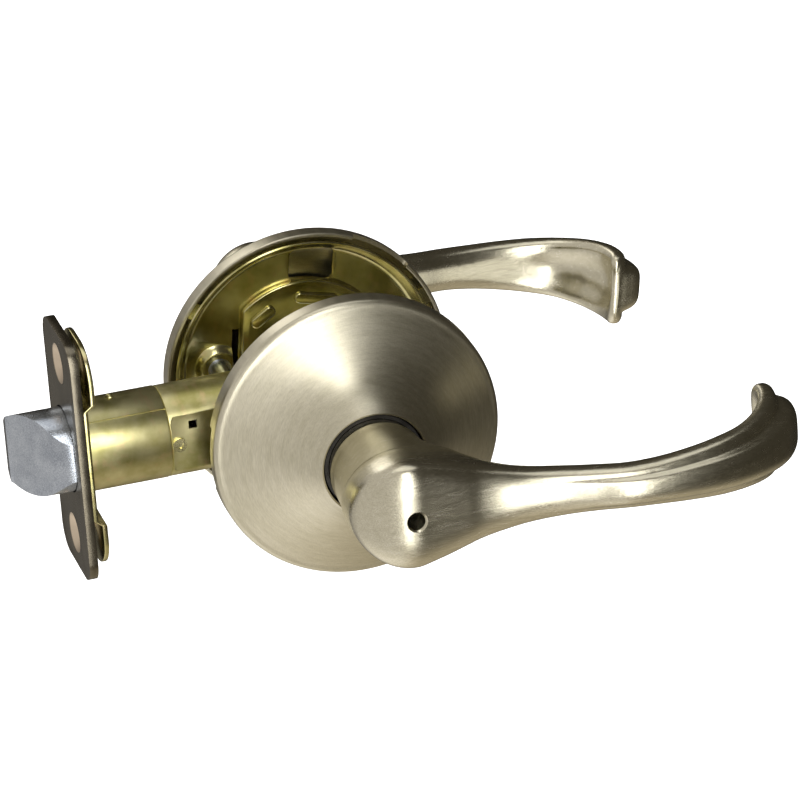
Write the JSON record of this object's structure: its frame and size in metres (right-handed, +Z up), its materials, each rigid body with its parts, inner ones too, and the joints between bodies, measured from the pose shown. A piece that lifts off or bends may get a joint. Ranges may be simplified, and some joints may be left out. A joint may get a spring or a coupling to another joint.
{
  "type": "door lever handle set",
  "caption": "Privacy door lever set with scrolled satin nickel levers on round roses and a tubular spring latch.",
  "frame": {"origin": "spindle axis at the middle of the door's thickness, which is the centre of the door's cross bore", "axes": "+X along the levers and away from the door's edge, -Y out of the outside face, +Y out of the inside face, +Z up"},
  "size_m": [0.1631, 0.1492, 0.065],
  "materials": {
    "satin_nickel": "brushed satin nickel",
    "faceplate_nickel": "dull brushed nickel",
    "yellow_zinc": "yellow chromate on zinc, glossy",
    "bright_zinc": "bright zinc",
    "bolt_zinc": "bluish zinc, fine grained",
    "plain_steel": "plain",
    "spring_steel": "drawn wire",
    "black_nylon": "moulded nylon"
  },
  "bodies": {
    "chassis": {"outside_rose": "satin_nickel", "outside_bushing": "black_nylon", "outside_plate": "yellow_zinc", "outside_cage_cover": "yellow_zinc", "outside_return_spring": "spring_steel", "posts": "bright_zinc", "inside_rose": "satin_nickel", "inside_bushing": "black_nylon", "inside_plate": "yellow_zinc", "inside_cage_cover": "yellow_zinc", "inside_return_spring": "spring_steel", "clamp_screws": "bright_zinc", "faceplate": "faceplate_nickel", "back_plate": "yellow_zinc", "latch_tube": "yellow_zinc", "latch_case": "yellow_zinc", "case_rivets": "yellow_zinc", "spring_seat": "plain_steel", "latch_spring": "spring_steel"},
    "outside_handle": {"outside_lever": "satin_nickel", "outside_drive_tube": "bright_zinc", "outside_retaining_ring": "plain_steel", "outside_catch": "plain_steel"},
    "inside_handle": {"inside_lever": "satin_nickel", "inside_drive_tube": "bright_zinc", "inside_retaining_ring": "plain_steel", "inside_catch": "plain_steel", "button_spring": "spring_steel"},
    "spindle_drive": {"spindle": "bright_zinc", "latch_cam": "plain_steel"},
    "bolt": {"latch_bolt": "bolt_zinc", "latch_tail": "bright_zinc"},
    "button": {"privacy_button": "satin_nickel", "lock_rod": "plain_steel"}
  },
  "joints": [
    {"name": "inside_turn", "type": "hinge", "parent": "chassis", "child": "inside_handle", "pos_m": [0, 0, 0], "axis": [0, 1, 0], "range_deg": [0, 50], "stiffness_Nm_per_rad": 0.6, "springref_deg": -28.65},
    {"name": "outside_turn", "type": "hinge", "parent": "chassis", "child": "outside_handle", "pos_m": [0, 0, 0], "axis": [0, 1, 0], "range_deg": [0, 50], "stiffness_Nm_per_rad": 0.6, "springref_deg": -28.65},
    {"name": "spindle_turn", "type": "hinge", "parent": "chassis", "child": "spindle_drive", "pos_m": [0, 0, 0], "axis": [0, 1, 0], "range_deg": [0, 50]},
    {"name": "bolt_slide", "type": "slide", "parent": "chassis", "child": "bolt", "axis": [1, 0, 0], "range_m": [0, 0.012], "stiffness_N_per_m": 300, "springref_m": -0.01, "deforming": ["latch_spring"]},
    {"name": "button_push", "type": "slide", "parent": "inside_handle", "child": "button", "axis": [0, -1, 0], "range_m": [0, 0.003], "stiffness_N_per_m": 400, "springref_m": -0.004, "deforming": ["button_spring"]}
  ],
  "couplings": [
    {"joint": "outside_turn", "follows": "inside_turn", "ratio": 1},
    {"joint": "spindle_turn", "follows": "inside_turn", "ratio": 1},
    {"joint": "bolt_slide", "follows": "inside_turn", "m_per_rad": 0.01375}
  ]
}
